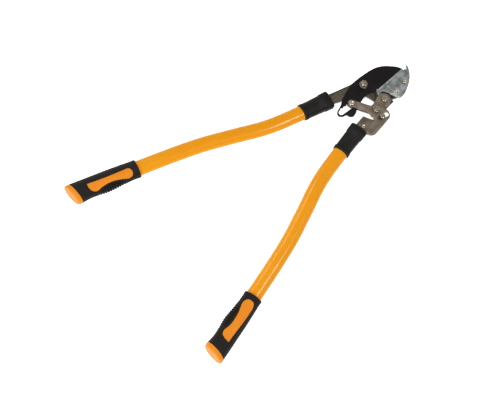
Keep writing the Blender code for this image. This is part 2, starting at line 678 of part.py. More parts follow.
def make_fixed_pivots(parent):
    bolt("blade_pivot_bolt", BLADE_PIVOT, PIVOT_DIAMETER, ARM_BOTTOM - GAP - HEAD_HEIGHT,
         ARM_BOTTOM - GAP, BLADE_TOP + 3 * GAP + WASHER_THICKNESS + NUT_HEIGHT + BOLT_END, parent)
    washer_bottom = BLADE_TOP + GAP
    ring("blade_pivot_washer", BLADE_PIVOT, WASHER_DIAMETER, PIVOT_DIAMETER + 2 * GAP,
         washer_bottom, washer_bottom + WASHER_THICKNESS, BRIGHT, parent)
    nut("blade_pivot_nut", BLADE_PIVOT, PIVOT_DIAMETER, washer_bottom + WASHER_THICKNESS + GAP, parent)
    bolt("lever_pivot_bolt", LEVER_PIVOT, PIVOT_DIAMETER, REAR_LEVER_BOTTOM - GAP - HEAD_HEIGHT,
         REAR_LEVER_BOTTOM - GAP, FRONT_LEVER_TOP + GAP + NUT_HEIGHT + BOLT_END, parent)
    ring("lever_pivot_spacer", LEVER_PIVOT, SPACER_DIAMETER, PIVOT_DIAMETER + 2 * GAP,
         ARM_TOP + GAP, FRONT_LEVER_BOTTOM - GAP, ZINC, parent)
    nut("lever_pivot_nut", LEVER_PIVOT, PIVOT_DIAMETER, FRONT_LEVER_TOP + GAP, parent)


# ---------------------------------------------------------------- blade

def notch_centre(i):
    tail = (RATCHET_PIN[0] - 0.0005 * i, RATCHET_PIN[1] - NOTCH_PITCH * i)
    return tail


def ratchet_slot():
    """The slot in the tail: a plain edge on the right and a row of notches on the left."""
    radius = RATCHET_PIN_DIAMETER / 2 + PIN_PLAY
    outline = [(0.0005, -0.0525), (-0.0010, -0.0868)]
    outline += arc((-0.0062, -0.0862), 0.0050, -10, -170, 6)
    for i in reversed(range(NOTCH_COUNT)):
        last = 95 if i == 0 else 128
        outline += arc(notch_centre(i), radius, 232, last, 5)
    outline += [(-0.0020, -0.0483)]
    return outline


def make_blade(parent):
    outline = [tuple(EDGE_TIP)]
    outline += smooth([(-0.0106, 0.0927), (-0.0205, 0.0814), (-0.0302, 0.0680), (-0.0370, 0.0520),
                       (-0.0400, 0.0338), (-0.0410, 0.0170), (-0.0414, 0.0003), (-0.0408, -0.0173),
                       (-0.0376, -0.0302), (-0.0323, -0.0450), (-0.0275, -0.0582),
                       (-0.0232, -0.0668), (-0.0187, -0.0743), (-0.0158, -0.0835),
                       (-0.0122, -0.0915), (-0.0061, -0.0945), (0.0005, -0.0925),
                       (0.0034, -0.0870), (0.0045, -0.0808), (0.0082, -0.0778),
                       (0.0140, -0.0737), (0.0160, -0.0669), (0.0136, -0.0594),
                       (0.0089, -0.0520), (0.0050, -0.0430), (0.0026, -0.0339),
                       (-0.0005, -0.0239), (-0.0016, -0.0132), (-0.0002, -0.0025),
                       (0.0040, 0.0060)], 2)
    outline += [tuple(EDGE_HEEL)]
    holes = [circle(BLADE_PIVOT, PIVOT_DIAMETER / 2 + GAP), ratchet_slot()]
    adopt(slab(outline, BLADE_BOTTOM, BLADE_TOP, holes), "blade", COATED_STEEL, parent)


# ---------------------------------------------------------------- lever side of the head

def make_lever(parent):
    hole = PIVOT_DIAMETER / 2 + GAP
    outline = arc(LEVER_PIVOT, LEVER_HUB_RADIUS, 195, -38, 16)
    outline += [(0.0450, -0.0045)]
    outline += smooth([(0.0500, -0.0024), (0.0560, -0.0022), (0.0625, -0.0052), (0.0673, -0.0113)])
    outline += smooth([(0.0759, -0.0625), (0.0735, -0.0705), (0.0676, -0.0764), (0.0610, -0.0785)])
    outline += [(0.0560, -0.0700), (0.0524, -0.0604), (0.0512, -0.0428)]
    outline += smooth([(0.0465, -0.0400), (0.0375, -0.0393), (0.0270, -0.0420), (0.0225, -0.0395),
                       (0.0215, -0.0320), (0.0225, -0.0220), (0.0205, -0.0100), (0.0160, 0.0000)])
    clamp = slot((CLAMP_BOLT[0] - 0.0011, CLAMP_BOLT[1] - 0.0072),
                 (CLAMP_BOLT[0] + 0.0018, CLAMP_BOLT[1] + 0.0125), CLAMP_SLOT_WIDTH)
    rivet_hole = circle(PLATE_RIVET, RIVET_DIAMETER / 2 + GAP)
    holes = [circle(LEVER_PIVOT, hole), circle(LINK_PIVOT, hole), clamp, rivet_hole]
    front = slab(outline, FRONT_LEVER_BOTTOM, FRONT_LEVER_TOP, holes)
    adopt(front, "lever_front_plate", WARM_STEEL, parent)

    rear_outline = arc(LEVER_PIVOT, 0.0125, 160, -10, 8)
    rear_outline += smooth([(0.0465, -0.0120), (0.0560, -0.0260), (0.0590, -0.0400), (0.0560, -0.0600)])
    rear_outline += arc(TANG_RIVET, 0.0075, 10, -170, 8)
    rear_outline += smooth([(0.0410, -0.0520), (0.0460, -0.0365), (0.0445, -0.0310), (0.0385, -0.0310)])
    rear_outline += smooth([(0.0325, -0.0300), (0.0280, -0.0245), (0.0250, -0.0140), (0.0195, 0.0020)])
    rivet_gap = RIVET_DIAMETER / 2 + GAP
    rear_holes = [circle(LEVER_PIVOT, hole), circle(LINK_PIVOT, hole), circle(TANG_RIVET, rivet_gap)]
    rear = slab(rear_outline, REAR_LEVER_BOTTOM, REAR_LEVER_TOP, rear_holes)
    adopt(rear, "lever_rear_plate", WARM_STEEL, parent)

    outer, outer_end, inner_end, inner = tang_strap(1)
    tang_outline = [inner, (0.0290, -0.0538), (0.0405, -0.0475), (0.0490, -0.0416)]
    tang_outline += arc(CLAMP_BOLT, 0.0080, 170, 0, 8)
    tang_outline += [(0.0680, -0.0400), (0.0705, -0.0620), (0.0660, -0.0735), outer, outer_end, inner_end]
    tang_holes = [circle(CLAMP_BOLT, CLAMP_DIAMETER / 2 + GAP), circle(TANG_RIVET, rivet_gap), rivet_hole]
    tang = slab(tang_outline, TANG_BOTTOM, TANG_TOP, tang_holes)
    boolean(tang, "DIFFERENCE", tang_pin_hole(1, LEVER_HANDLE_LEVEL, "tang_pin_hole"))
    adopt(tang, "lever_tang", WARM_STEEL, parent)


def make_lever_fasteners(parent):
    head_bottom = FRONT_LEVER_TOP + GAP
    bolt("clamp_bolt", CLAMP_BOLT, CLAMP_DIAMETER, head_bottom, head_bottom + 0.004,
         TANG_BOTTOM - GAP - NUT_HEIGHT - BOLT_END / 2, parent, CLAMP_ACROSS_FLATS)
    nut("clamp_nut", CLAMP_BOLT, CLAMP_DIAMETER, TANG_BOTTOM - GAP - NUT_HEIGHT, parent,
        CLAMP_ACROSS_FLATS)
    rivet("tang_rivet", TANG_RIVET, RIVET_DIAMETER, RIVET_HEAD_DIAMETER,
          REAR_LEVER_BOTTOM - GAP, TANG_TOP + GAP, parent)
    ring("tang_spacer", TANG_RIVET, 2 * RIVET_DIAMETER, RIVET_DIAMETER + 2 * GAP,
         REAR_LEVER_TOP + GAP, TANG_BOTTOM - GAP, ZINC, parent)
    flush = pin_shape(PLATE_RIVET, RIVET_DIAMETER / 2, TANG_BOTTOM, FRONT_LEVER_TOP)
    adopt(flush, "plate_rivet", WARM_STEEL, parent)
    bolt("link_bolt", LINK_PIVOT, PIVOT_DIAMETER, REAR_LEVER_BOTTOM - GAP - HEAD_HEIGHT,
         REAR_LEVER_BOTTOM - GAP, FRONT_LEVER_TOP + GAP + NUT_HEIGHT + BOLT_END, parent)
    nut("link_nut", LINK_PIVOT, PIVOT_DIAMETER, FRONT_LEVER_TOP + GAP, parent)


# ---------------------------------------------------------------- link

def make_link(parent):
    half = LINK_WIDTH / 2
    run = Vector(LINK_PIVOT) - Vector(RATCHET_PIN)
    angle = math.degrees(math.atan2(run.y, run.x))
    outline = (arc(LINK_PIVOT, half, angle - 90, angle + 90, 8)
               + arc(RATCHET_PIN, half, angle + 90, angle + 270, 8))
    holes = [circle(LINK_PIVOT, PIVOT_DIAMETER / 2 + GAP),
             circle(RATCHET_PIN, RATCHET_PIN_DIAMETER / 2 + GAP)]
    front = slab(outline, FRONT_LINK_BOTTOM, FRONT_LINK_TOP, holes)
    adopt(front, "link_front_plate", WARM_STEEL, parent)
    rear = slab(outline, REAR_LINK_BOTTOM, REAR_LINK_TOP, holes)
    adopt(rear, "link_rear_plate", ZINC, parent)
    ring("link_spacer", LINK_PIVOT, SPACER_DIAMETER, PIVOT_DIAMETER + 2 * GAP,
         REAR_LINK_TOP + GAP, FRONT_LINK_BOTTOM - GAP, ZINC, parent)
    rivet("ratchet_pin", RATCHET_PIN, RATCHET_PIN_DIAMETER, RATCHET_HEAD_DIAMETER,
          REAR_LINK_BOTTOM - GAP, FRONT_LINK_TOP + GAP, parent)


# ---------------------------------------------------------------- assembly

def stand_on_floor(frame):
    """Move the tool so that its origin is under the middle of its box."""
    bpy.context.view_layer.update()
    depsgraph = bpy.context.evaluated_depsgraph_get()
    corners = []
    for item in PARTS.objects:
        if item.type == "MESH":
            seen = item.evaluated_get(depsgraph)
            corners += [item.matrix_world @ vertex.co for vertex in seen.data.vertices]
    low = [min(corner[i] for corner in corners) for i in range(3)]
    high = [max(corner[i] for corner in corners) for i in range(3)]
    frame.location = (-(low[0] + high[0]) / 2, -(low[1] + high[1]) / 2, -low[2])


clear_scene()
PARTS = new_collection("ratchet_anvil_loppers")
CUTTERS = new_collection("cutters")
POWDER_COAT = finish("orange_powder_coat", (0.94, 0.35, 0.012), 0.25, 0.0)
ORANGE_PLASTIC = finish("orange_plastic", (0.92, 0.27, 0.012), 0.4, 0.0)
SOFT_BLACK = finish("soft_black_rubber", (0.02, 0.019, 0.018), 0.75, 0.0)
BLACK_PLASTIC = finish("black_plastic", (0.018, 0.017, 0.016), 0.6, 0.0)
COATED_STEEL = finish("black_coated_steel", (0.010, 0.009, 0.009), 0.45, 0.3)
WARM_STEEL = finish("warm_grey_steel", (0.13, 0.11, 0.085), 0.45, 0.9)
ZINC = finish("zinc_plate", (0.30, 0.34, 0.36), 0.35, 0.9)
ALUMINIUM = finish("aluminium", (0.50, 0.49, 0.46), 0.4, 0.9)
BRIGHT = finish("bright_nickel", (0.55, 0.52, 0.44), 0.25, 1.0)

FRAME = place_empty("loppers_frame", (0.0, 0.0))
BLADE_AXIS = place_empty("blade_axis", BLADE_PIVOT, FRAME)
LEVER_AXIS = place_empty("lever_axis", LEVER_PIVOT, FRAME)
LINK_AXIS = place_empty("link_axis", LINK_PIVOT, FRAME)

make_arm(FRAME)
make_anvil(FRAME)
make_fixed_pivots(FRAME)
make_handle(-1, "left", 0.0, ARM_THICKNESS, FRAME)
make_blade(BLADE_AXIS)
make_lever(LEVER_AXIS)
make_lever_fasteners(LEVER_AXIS)
make_handle(1, "right", LEVER_HANDLE_LEVEL, TANG_THICKNESS, LEVER_AXIS)
make_link(LINK_AXIS)
stand_on_floor(FRAME)
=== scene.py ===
"""Ratchet anvil loppers: the look of every piece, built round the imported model."""
import math

import bmesh
import bpy
from mathutils import Matrix, Vector


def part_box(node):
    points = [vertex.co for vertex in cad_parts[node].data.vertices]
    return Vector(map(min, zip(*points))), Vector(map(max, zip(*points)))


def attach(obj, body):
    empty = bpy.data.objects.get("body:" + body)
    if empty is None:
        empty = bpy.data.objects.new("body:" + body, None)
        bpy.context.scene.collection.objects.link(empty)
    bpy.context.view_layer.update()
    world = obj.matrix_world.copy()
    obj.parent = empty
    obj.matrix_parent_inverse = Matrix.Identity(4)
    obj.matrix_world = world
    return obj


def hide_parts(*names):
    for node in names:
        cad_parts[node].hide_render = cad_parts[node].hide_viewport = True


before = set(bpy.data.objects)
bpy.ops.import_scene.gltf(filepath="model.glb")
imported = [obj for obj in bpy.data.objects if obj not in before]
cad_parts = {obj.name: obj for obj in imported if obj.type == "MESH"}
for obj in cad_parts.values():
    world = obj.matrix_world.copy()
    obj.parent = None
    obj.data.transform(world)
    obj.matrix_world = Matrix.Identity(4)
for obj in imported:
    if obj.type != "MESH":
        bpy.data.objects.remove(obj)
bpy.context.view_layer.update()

# ================================================================ the white table and the light
# The loppers lie on a white table under large soft lamps, and are seen from above and from the
# grips' end. The table glows too, a painted light that washes out the shadows cast on it.
camera = bpy.data.objects.new("camera", bpy.data.cameras.new("camera"))
camera_right = Vector((0.6631, 0.7146, 0.2230))
camera_back = Vector((0.1361, -0.4080, 0.9028)).normalized()
camera_up = camera_back.cross(camera_right).normalized()
camera_right = camera_up.cross(camera_back)
turn = Matrix((camera_right, camera_up, camera_back)).transposed()
camera.matrix_world = Matrix.Translation((0.38196, -1.18015, 2.36380)) @ turn.to_4x4()
camera.data.sensor_width = 36.0
camera.data.lens = 94.55
bpy.context.scene.collection.objects.link(camera)
bpy.context.scene.camera = camera


def lamp(name, power, size, place):
    """A square soft lamp at a place, turned to face the middle of the table."""
    light = bpy.data.lights.new(name, "AREA")
    light.energy = power
    light.size = size
    item = bpy.data.objects.new(name, light)
    item.location = place
    item.rotation_euler = (-Vector(place)).to_track_quat("-Z", "Y").to_euler()
    bpy.context.scene.collection.objects.link(item)


lamp("right_lamp", 11.0, 0.38, (0.84, 0.96, 2.26))
lamp("left_lamp", 6.0, 0.5, (-1.60, 0.57, 1.95))
lamp("grip_end_lamp", 30.0, 0.7, (0.15, -2.4, 1.6))
lamp("ceiling_lamp", 44.0, 2.2, (0.0, -0.9, 2.6))
bpy.context.scene.view_settings.view_transform = "Standard"


class Wire:
    """A shader socket that adds, subtracts, multiplies and divides as a number does."""

    def __init__(self, tree, socket):
        self.tree = tree
        self.socket = socket

    def node(self, kind, output=0, settings=(), **sockets):
        """A new node of a type, with its settings and then its sockets given; returns one output."""
        made = self.tree.nodes.new("ShaderNode" + kind)
        for name, value in dict(settings).items():
            setattr(made, name, value)
        for name, value in sockets.items():
            key = int(name[1:]) if name[1:].isdigit() else name.replace("_", " ")
            if isinstance(value, Wire):
                self.tree.links.new(value.socket, made.inputs[key])
            else:
                made.inputs[key].default_value = value
        return Wire(self.tree, made.outputs[output])

    def maths(self, operation, first, second=0.0):
        return self.node("Math", settings={"operation": operation}, _0=first, _1=second)

    def __add__(self, other):
        return self.maths("ADD", self, other)

    __radd__ = __add__

    def __sub__(self, other):
        return self.maths("SUBTRACT", self, other)

    def __rsub__(self, other):
        return self.maths("SUBTRACT", other, self)

    def __mul__(self, other):
        return self.maths("MULTIPLY", self, other)

    __rmul__ = __mul__

    def between(self, low, high):
        """0 below the low value, 1 above the high one, and smooth from one to the other."""
        return self.node("MapRange", settings={"interpolation_type": "SMOOTHSTEP"},
                         Value=self, From_Min=low, From_Max=high)

    def noise(self, scale, detail=2.0, stretch=(1.0, 1.0, 1.0), turned=0.0):
        """Noise over the object, with so many lumps to the metre, stretched and turned about Z."""
        placed = self.node("Mapping", Vector=self, Scale=stretch, Rotation=(0.0, 0.0, turned))
        return self.node("TexNoise", Vector=placed, Scale=scale, Detail=detail)

    def mix(self, first, second):
        """The second colour where this is 1 and the first where it is 0."""
        made = self.tree.nodes.new("ShaderNodeMix")
        made.data_type = "RGBA"
        self.tree.links.new(self.socket, made.inputs[0])
        for key, value in ((6, first), (7, second)):
            if isinstance(value, Wire):
                self.tree.links.new(value.socket, made.inputs[key])
            else:
                made.inputs[key].default_value = (*value, 1.0)
        return Wire(self.tree, made.outputs[2])


def finish(name, metallic=0.0, coat=0.0, specular=0.5):
    """A new material: its Principled shader, and the wire of the object's own coordinates."""
    material = bpy.data.materials.new(name)
    material.use_nodes = True
    shader = material.node_tree.nodes["Principled BSDF"]
    shader.inputs["Metallic"].default_value = metallic
    shader.inputs["Coat Weight"].default_value = coat
    shader.inputs["Specular IOR Level"].default_value = specular
    place = Wire(material.node_tree, None).node("TexCoord", output=3)
    return material, shader, place


def dress(shader, colour, roughness, height=None, depth=0.0002):
    """Plug in a colour, a roughness and, where there is one, a height in shares of a depth."""
    tree = shader.id_data
    for name, value in (("Base Color", colour), ("Roughness", roughness)):
        if isinstance(value, Wire):
            tree.links.new(value.socket, shader.inputs[name])
        else:
            shader.inputs[name].default_value = value
    if height:
        bump = height.node("Bump", Height=height, Distance=depth)
        tree.links.new(bump.socket, shader.inputs["Normal"])


def show(bm, name, material, body, node, sharp=40.0):
    """Make a piece of a finished bmesh: its faces outwards, its body, slot and CAD node."""
    bmesh.ops.recalc_face_normals(bm, faces=bm.faces)
    mesh = bpy.data.meshes.new(name)
    bm.to_mesh(mesh)
    bm.free()
    mesh.materials.append(material)
    mesh.shade_smooth()
    mesh.set_sharp_from_angle(angle=math.radians(sharp))
    piece = bpy.data.objects.new(name, mesh)
    bpy.context.scene.collection.objects.link(piece)
    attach(piece, body)
    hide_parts(node)


# the room is bright round the table and dimmer overhead
world = bpy.data.worlds.new("studio")
world.use_nodes = True
sky = Wire(world.node_tree, None).node("TexCoord")
upwards = sky.node("SeparateXYZ", output=2, Vector=sky)
around = upwards.between(0.10, 0.75).mix((1.0, 1.0, 1.0), (0.35, 0.35, 0.35))
background = world.node_tree.nodes["Background"]
world.node_tree.links.new(around.socket, background.inputs["Color"])
bpy.context.scene.world = world

TABLE_HALF = 6.0
bm = bmesh.new()
bmesh.ops.create_grid(bm, x_segments=1, y_segments=1, size=TABLE_HALF)
table_mesh = bpy.data.meshes.new("table")
bm.to_mesh(table_mesh)
bm.free()
table = bpy.data.objects.new("table", table_mesh)
bpy.context.scene.collection.objects.link(table)
white, shader, place = finish("glowing_white_table", specular=0.2)
dress(shader, (0.93, 0.93, 0.93, 1.0), 0.8)
# painted light: the table glows with a light of its own, so the tool's shadows on it wash out to white and
# the tool's undersides are lit
shader.inputs["Emission Color"].default_value = (1.0, 1.0, 1.0, 1.0)
shader.inputs["Emission Strength"].default_value = 0.7
table_mesh.materials.append(white)

# ================================================================ the two bent handle tubes
# Each handle is a steel tube pressed to an oval, bent outwards behind the collar and straightened
# again into the grip, and powder coated in a glossy warm orange.
POWDER_ORANGE = (0.61, 0.230, 0.0010)
POWDER_PALE = (0.64, 0.248, 0.0015)
TUBE_HALF = 0.01615
TUBE_FLATNESS = 0.62
TUBE_START = 0.016
TUBE_END_IN_COLLAR = 0.020
TUBE_STEPS = 120
TUBE_SIDES = 56
COLLAR_END = (0.0446, -0.0828)
HANDLE_SPREAD = 0.1604
HANDLE_LENGTH = 0.5588
HANDLE_SHAPE = ((0.0, 0.0), (0.0885, 0.125), (0.212, 0.2695), (0.4015, 0.4084),
                (0.582, 0.5483), (0.793, 0.7638), (1.0, 1.0))
BLADE_PIVOT = (-0.024, 0.0)

pivot_low, pivot_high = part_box("blade_pivot_washer")
arm_low, arm_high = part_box("fixed_arm")
ZERO = Vector(((pivot_low.x + pivot_high.x) / 2 - BLADE_PIVOT[0],
               (pivot_low.y + pivot_high.y) / 2 - BLADE_PIVOT[1], (arm_low.z + arm_high.z) / 2))


def smooth(points, steps):
    """A Catmull-Rom curve through points of any width, ends included."""
    rows = [Vector(point) for point in points]
    rows = [2 * rows[0] - rows[1], *rows, 2 * rows[-1] - rows[-2]]
    curve = []
    for a, b, c, d in zip(rows, rows[1:], rows[2:], rows[3:]):
        for i in range(steps):
            t = i / steps
            curve.append(0.5 * (2 * b + (c - a) * t + (2 * a - 5 * b + 4 * c - d) * t * t
                                + (3 * b - a - 3 * c + d) * t ** 3))
    return curve + [rows[-2]]


class Handle:
    """One handle's centre line from the butt to the collar's end: the left one's side is -1."""

    def __init__(self, side, level):
        self.side = side
        self.level = level
        self.path = smooth([(side * (COLLAR_END[0] + HANDLE_SPREAD * across),
                             COLLAR_END[1] - HANDLE_LENGTH * along)
                            for across, along in reversed(HANDLE_SHAPE)], 16)
        self.runs = [0.0]
        for first, second in zip(self.path, self.path[1:]):
            self.runs.append(self.runs[-1] + (second - first).length)
        self.length = self.runs[-1]

    def at(self, run):
        """The point at a distance from the butt, the direction there and the way to the inside."""
        i = next((k for k in range(1, len(self.runs)) if self.runs[k] >= run), len(self.runs) - 1)
        first, second = self.path[i - 1], self.path[i]
        # the direction turns evenly from one piece of the line to the next
        share = (run - self.runs[i - 1]) / (self.runs[i] - self.runs[i - 1])
        before = (second - self.path[max(i - 2, 0)]).normalized()
        after = (self.path[min(i + 1, len(self.path) - 1)] - first).normalized()
        along = before.lerp(after, min(max(share, 0.0), 1.0)).normalized()
        return first + (second - first) * share, along, Vector((-along.y, along.x)) * self.side

    def ring(self, run, half, flatness, inwards=0.0):
        """The matrix that puts a unit circle round the handle, its centre moved to the inside."""
        point, along, across = self.at(run)
        centre = point + across * inwards
        place = Matrix(((across.x * half, 0.0, along.x, centre.x),
                        (across.y * half, 0.0, along.y, centre.y),
                        (0.0, half * flatness, 0.0, self.level),
                        (0.0, 0.0, 0.0, 1.0)))
        return Matrix.Translation(ZERO) @ place


def sweep(bm, rings, segments):
    """Draw a circle out through a row of ring matrices; returns each ring's vertices."""
    ring = bmesh.ops.create_circle(bm, segments=segments, radius=1.0, matrix=rings[0])["verts"]
    edges = [edge for edge in bm.edges if edge.verts[0] in ring and edge.verts[1] in ring]
    drawn = [ring]
    for before, after in zip(rings, rings[1:]):
        made = bmesh.ops.extrude_edge_only(bm, edges=edges)["geom"]
        ring = [part for part in made if isinstance(part, bmesh.types.BMVert)]
        edges = [part for part in made if isinstance(part, bmesh.types.BMEdge) and part.is_boundary]
        bmesh.ops.transform(bm, verts=ring, matrix=after @ before.inverted())
        drawn.append(ring)
    return drawn


def close(bm, *rings):
    """Cap open rings, each with one face."""
    for ring in rings:
        bmesh.ops.contextual_create(bm, geom=ring)


def spread(start, end, count):
    return [start + (end - start) * i / count for i in range(count + 1)]


powder, shader, place = finish("orange_powder_coat", coat=0.13, specular=0.2)
cloud = place.noise(14.0)
peel = place.noise(420.0, 1.0)
scuffs = place.noise(90.0, 4.0, (1.0, 0.25, 1.0)).between(0.62, 0.72)
dress(shader, (cloud.between(0.35, 0.65) * 0.6).mix(POWDER_ORANGE, POWDER_PALE),
      0.20 + cloud * 0.06 + scuffs * 0.10, peel, 0.00004)
shader.inputs["Coat Roughness"].default_value = 0.08

tang_low, tang_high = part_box("lever_tang")
handles = {"left": Handle(-1, 0.0), "right": Handle(1, (tang_low.z + tang_high.z) / 2 - ZERO.z)}
body_of = {"left": "fixed_side", "right": "lever_side"}
for name, handle in handles.items():
    bm = bmesh.new()
    runs = spread(TUBE_START, handle.length - TUBE_END_IN_COLLAR, TUBE_STEPS)
    rings = sweep(bm, [handle.ring(run, TUBE_HALF, TUBE_FLATNESS) for run in runs], TUBE_SIDES)
    close(bm, rings[0], rings[-1])
    show(bm, name + "_handle_tube", powder, body_of[name], name + "_tube")

# ================================================================ collars
# A black moulded collar joins each tube to its tang: a sleeve, oval where the tube goes in and squarer
# towards the head, with a raised band at either end, a thin bead beside each band and rows of short
# raised grip bars on its faces.
COLLAR_LENGTH = 0.071
COLLAR_WALL = 0.0025
COLLAR_HALF = TUBE_HALF + COLLAR_WALL
COLLAR_FLATNESS = (TUBE_HALF * TUBE_FLATNESS + COLLAR_WALL) / COLLAR_HALF
COLLAR_FLARE = 0.0010
COLLAR_BLACK = (0.0036, 0.0029, 0.0022)
COLLAR_DUST = (0.0095, 0.0085, 0.0072)
# distance from the tube's end of the collar, how far the surface stands below the outermost form
COLLAR_FORM = ((0.0, 0.0016), (0.0005, 0.0006), (0.0012, 0.0001), (0.0062, 0.0), (0.0066, 0.0002),
               (0.0069, 0.0010), (0.0073, 0.0010), (0.0077, 0.0), (0.0085, 0.0), (0.0089, 0.0011),
               (0.0300, 0.0013), (0.0520, 0.0011), (0.0528, 0.0002), (0.0534, 0.0), (0.0630, 0.0),
               (0.0634, 0.0008), (0.0640, 0.0008), (0.0643, 0.0), (0.0651, 0.0), (0.0655, 0.0008),
               (0.0660, 0.0008), (0.0664, 0.0), (0.0703, 0.0), (0.0708, 0.0003), (0.0710, 0.0010))
# the head end turns in over the tang: distance as above, share of the collar's half width
COLLAR_MOUTH = ((0.0710, 0.84), (0.0702, 0.80), (0.0680, 0.79), (0.0678, 0.60))
HEAD_END_SQUARENESS = 3.4
BAR_ROWS = (-0.0060, 0.0005, 0.0070)
BAR_RUNS = (0.016, 0.023, 0.030, 0.037, 0.044)
BAR_SIZE = (0.0012, 0.0034, 0.0016)
BAR_MIDDLE_SUNK = 0.0016
BAR_RIM = 0.00025
BEAD_START = 0.0081
BEAD_END = 0.0640
BEAD_ACROSS = 0.0118
BEAD_SUNK = 0.0011
BEAD_RADIUS = 0.0006

moulded, shader, place = finish("black_moulded_plastic", specular=0.2)
grain = place.noise(2600.0, 2.0)
dust = place.noise(60.0, 4.0)
dress(shader, (dust.between(0.45, 0.75) * 0.5).mix(COLLAR_BLACK, COLLAR_DUST),
      0.44 + dust * 0.18, grain, 0.00005)


def squareness(run):
    """The power of the collar's outline at a distance from its tube end: 2 is an oval."""
    return 2.0 + (HEAD_END_SQUARENESS - 2.0) * run / COLLAR_LENGTH


def collar_height(run, across):
    """How far the collar's outermost form stands off its middle plane, so far across."""
    power = squareness(run)
    return COLLAR_HALF * COLLAR_FLATNESS * (1 - abs(across / COLLAR_HALF) ** power) ** (1 / power)


for name, handle in handles.items():
    bm = bmesh.new()
    start = handle.length - COLLAR_LENGTH
    places = []
    for run, sunk in COLLAR_FORM:
        half = COLLAR_HALF + COLLAR_FLARE * run / COLLAR_LENGTH - sunk
        places.append((run, handle.ring(start + run, half, COLLAR_FLATNESS)))
    for run, share in COLLAR_MOUTH:
        places.append((run, handle.ring(start + run, COLLAR_HALF * share, COLLAR_FLATNESS)))
    drawn = sweep(bm, [ring for _, ring in places], 72)
    for (run, ring), verts in zip(places, drawn):
        power = squareness(run)
        for vert in verts:
            spot = ring.inverted() @ vert.co
            reach = (abs(spot.x) ** power + abs(spot.y) ** power) ** (-1 / power)
            vert.co = ring @ (spot * reach)
    close(bm, drawn[0], drawn[-1])
    for face in (-1, 1):
        for row in BAR_ROWS:
            for run in BAR_RUNS:
                point, along, across = handle.at(start + run)
                centre = point + across * row
                level = handle.level + face * (collar_height(run, row) - BAR_MIDDLE_SUNK)
                spot = Matrix(((along.x, across.x, 0.0, centre.x), (along.y, across.y, 0.0, centre.y),
                               (0.0, 0.0, 1.0, level), (0.0, 0.0, 0.0, 1.0)))
                sized = Matrix.Diagonal((*BAR_SIZE, 1.0))
                bar = bmesh.ops.create_cube(bm, size=1.0, matrix=Matrix.Translation(ZERO) @ spot @ sized)
                rims = list({edge for vert in bar["verts"] for edge in vert.link_edges})
                bmesh.ops.bevel(bm, geom=rims, offset=BAR_RIM, segments=1, profile=0.5,
                                affect="EDGES", material=-1)
        # a bead along the panel, on the side towards the other handle
        beads = []
        for run in spread(BEAD_START, BEAD_END, 24):
            ring = handle.ring(start + run, BEAD_RADIUS, 1.0, BEAD_ACROSS)
            height = collar_height(run, BEAD_ACROSS) - BEAD_SUNK
            beads.append(Matrix.Translation((0.0, 0.0, face * height)) @ ring)
        bead = sweep(bm, beads, 10)
        close(bm, bead[0], bead[-1])
    show(bm, name + "_moulded_collar", moulded, body_of[name], name + "_collar")

# ================================================================ grips
# A hard orange core shows as a long pad on either face and as a thin lip, where a soft black cover
# moulded over it leaves it bare. The cover swells towards the other handle in a row of finger ribs.
GRIP_LENGTH = 0.136
GRIP_FLATNESS = 0.72
LIP_LENGTH = 0.0012
# share of the grip's length from the butt, outer half width, inner half width
GRIP_SECTIONS = ((0.0, 0.0230, 0.0230), (0.12, 0.0227, 0.0211), (0.25, 0.0223, 0.0207),
                 (0.45, 0.0218, 0.0235), (0.60, 0.0214, 0.0224), (0.80, 0.0204, 0.0197),
                 (0.92, 0.0198, 0.0193), (1.0, 0.0203, 0.0203))
# share of the grip's length, how far the pad reaches to the outer side and to the inner one; both
# grips are one moulding, turned over, so each has a pad that leans outwards and one that leans in
PAD_LEANING_OUT = ((0.184, 0.0106, -0.0085), (0.199, 0.0108, 0.0001), (0.228, 0.0110, 0.0071),
                   (0.268, 0.0111, 0.0095), (0.313, 0.0113, 0.0094), (0.412, 0.0118, 0.0058),
                   (0.544, 0.0125, 0.0055), (0.665, 0.0128, 0.0076), (0.765, 0.0126, 0.0106),
                   (0.809, 0.0121, 0.0110), (0.857, 0.0102, 0.0089), (0.882, 0.0078, 0.0058),
                   (0.893, 0.0035, 0.0008))
PAD_LEANING_IN = ((0.180, 0.0050, 0.0030), (0.210, 0.0049, 0.0113), (0.268, 0.0045, 0.0148),
                  (0.309, 0.0042, 0.0147), (0.379, 0.0036, 0.0119), (0.474, 0.0031, 0.0103),
                  (0.566, 0.0031, 0.0101), (0.676, 0.0035, 0.0122), (0.776, 0.0039, 0.0150),
                  (0.835, 0.0040, 0.0146), (0.867, 0.0009, 0.0122), (0.882, -0.0040, 0.0072))
PAD_ROUND = 0.0012
PAD_EDGE_DROP = 0.0006
PAD_DEPTH = 0.0016
COVER_SUNK = 0.0004
COVER_TURNED_IN = 0.0040
# distance from either end of the cover, how far its rolled end stands below the grip's form
COVER_ROLL = ((0.0002, COVER_SUNK + 0.0006), (0.0006, COVER_SUNK + 0.0002), (0.0014, COVER_SUNK))
BUTT_SLANT = 0.25
SLANT_RUN = 0.027
RIB_START = 0.285
RIB_END = 0.755
RIB_COUNT = 12
RIB_DEPTH = 0.0036
RIB_RISE = 0.0018
RIB_BAND_BY_PAD = 0.0022
RIB_NEAREST = 0.0095
RUBBER_BLACK = (0.0055, 0.0045, 0.0036)
RUBBER_DUST = (0.0145, 0.0125, 0.0105)
CORE_ORANGE = (0.60, 0.186, 0.0012)
CORE_DEEP = (0.57, 0.165, 0.0010)


def read(table, share):
    """A row of a smooth table at a share."""
    after = next((k for k in range(1, len(table)) if table[k][0] >= share), len(table) - 1)
    before = table[after - 1]
    step = (share - before[0]) / (table[after][0] - before[0])
    return before.lerp(table[after], min(max(step, 0.0), 1.0))


def pad_on(handle, face):
    return smooth(PAD_LEANING_OUT if handle.side * face > 0 else PAD_LEANING_IN, 8)


